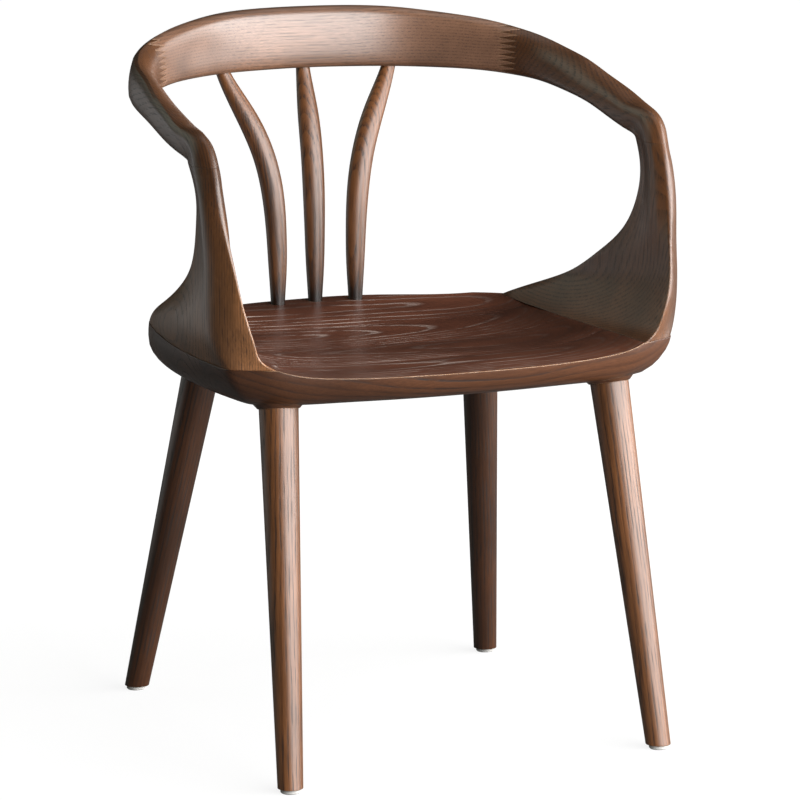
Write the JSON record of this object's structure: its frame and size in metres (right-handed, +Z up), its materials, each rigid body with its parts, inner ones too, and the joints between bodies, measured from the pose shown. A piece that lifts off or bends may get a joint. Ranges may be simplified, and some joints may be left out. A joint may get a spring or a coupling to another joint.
{
  "type": "horseshoe back armchair",
  "caption": "Armchair with a horseshoe rail that flows into twisted arm supports, a dished solid seat, flared back spindles and splayed tapered round legs",
  "frame": {"origin": "on the floor, under the middle of the whole chair's width and depth", "axes": "+X is the sitter's left, -Y is the way that the sitter faces, +Z is up"},
  "size_m": [0.5724, 0.5306, 0.7981],
  "materials": {
    "stained_wood": "satin dark walnut stain with open grain",
    "dowel_wood": "plain unfinished beech",
    "glide_plastic": "moulded, matt",
    "steel": "plain bright"
  },
  "bodies": {
    "root": {"front_seat_board": "stained_wood", "middle_front_seat_board": "stained_wood", "middle_rear_seat_board": "stained_wood", "rear_seat_board": "stained_wood", "crest_rail": "stained_wood", "right_arm_rail": "stained_wood", "left_arm_rail": "stained_wood", "right_arm_support": "stained_wood", "left_arm_support": "stained_wood", "left_spindle": "stained_wood", "middle_spindle": "stained_wood", "right_spindle": "stained_wood", "front_right_leg": "stained_wood", "front_left_leg": "stained_wood", "rear_right_leg": "stained_wood", "rear_left_leg": "stained_wood", "arm_support_dowels": "dowel_wood", "elbow_dowels": "dowel_wood", "foot_glides": "glide_plastic", "glide_nails": "steel"}
  },
  "joints": []
}
